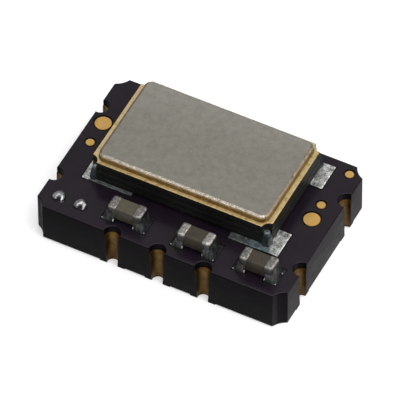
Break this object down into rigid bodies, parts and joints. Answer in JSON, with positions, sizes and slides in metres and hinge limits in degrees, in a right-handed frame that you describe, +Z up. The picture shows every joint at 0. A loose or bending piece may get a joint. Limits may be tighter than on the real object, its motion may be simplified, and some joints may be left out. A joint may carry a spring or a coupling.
{
  "type": "crystal oscillator",
  "caption": "Surface-mount crystal oscillator: a sealed ceramic package with a flat metal lid beside chip capacitors, on a thick laminate board with gold half-round edge terminals.",
  "frame": {"origin": "bottom centre of the part's box, on the plane of the ten solder feet", "axes": "+X along the board's long side, +Y away from the side with the capacitors, +Z up through the lid"},
  "size_m": [0.0074, 0.005, 0.0022],
  "materials": {
    "laminate": "satin",
    "gold_plating": "satin",
    "tinned_copper": "satin",
    "solder": "gloss",
    "dark_ceramic": "matt",
    "gold_plated_alloy": "satin",
    "nickel_plated_lid": "matt",
    "quartz": "gloss",
    "electrode_film": "gloss",
    "silver_adhesive": "matt",
    "silicon": "gloss",
    "capacitor_ceramic": "satin",
    "tin_plating": "satin"
  },
  "bodies": {
    "root": {"adhesive_dot_1": "silver_adhesive", "adhesive_dot_2": "silver_adhesive", "bottom_electrode": "electrode_film", "capacitor_body_1": "capacitor_ceramic", "capacitor_body_2": "capacitor_ceramic", "capacitor_body_3": "capacitor_ceramic", "capacitor_end_1": "tin_plating", "capacitor_end_2": "tin_plating", "capacitor_end_3": "tin_plating", "capacitor_end_4": "tin_plating", "capacitor_end_5": "tin_plating", "capacitor_end_6": "tin_plating", "capacitor_lands": "tinned_copper", "capacitor_solder_1": "solder", "capacitor_solder_2": "solder", "capacitor_solder_3": "solder", "capacitor_solder_4": "solder", "capacitor_solder_5": "solder", "capacitor_solder_6": "solder", "castellation_1": "gold_plating", "castellation_10": "gold_plating", "castellation_2": "gold_plating", "castellation_3": "gold_plating", "castellation_4": "gold_plating", "castellation_5": "gold_plating", "castellation_6": "gold_plating", "castellation_7": "gold_plating", "castellation_8": "gold_plating", "castellation_9": "gold_plating", "ceramic_base": "dark_ceramic", "chip_bumps": "gold_plating", "circuit_board": "laminate", "filled_via_1": "solder", "filled_via_2": "solder", "gold_rim": "gold_plating", "lid": "nickel_plated_lid", "oscillator_chip": "silicon", "package_land_1": "tinned_copper", "package_land_2": "tinned_copper", "package_land_3": "tinned_copper", "package_land_4": "tinned_copper", "package_solder_1": "solder", "package_solder_2": "solder", "package_solder_3": "solder", "package_solder_4": "solder", "package_terminal_1": "gold_plating", "package_terminal_2": "gold_plating", "package_terminal_3": "gold_plating", "package_terminal_4": "gold_plating", "probe_pad_1": "gold_plating", "probe_pad_2": "gold_plating", "probe_pad_3": "gold_plating", "probe_pad_4": "gold_plating", "probe_pad_5": "gold_plating", "quartz_blank": "quartz", "sealing_ring": "gold_plated_alloy", "shelf_pads": "gold_plating", "top_electrode": "electrode_film"}
  },
  "joints": []
}
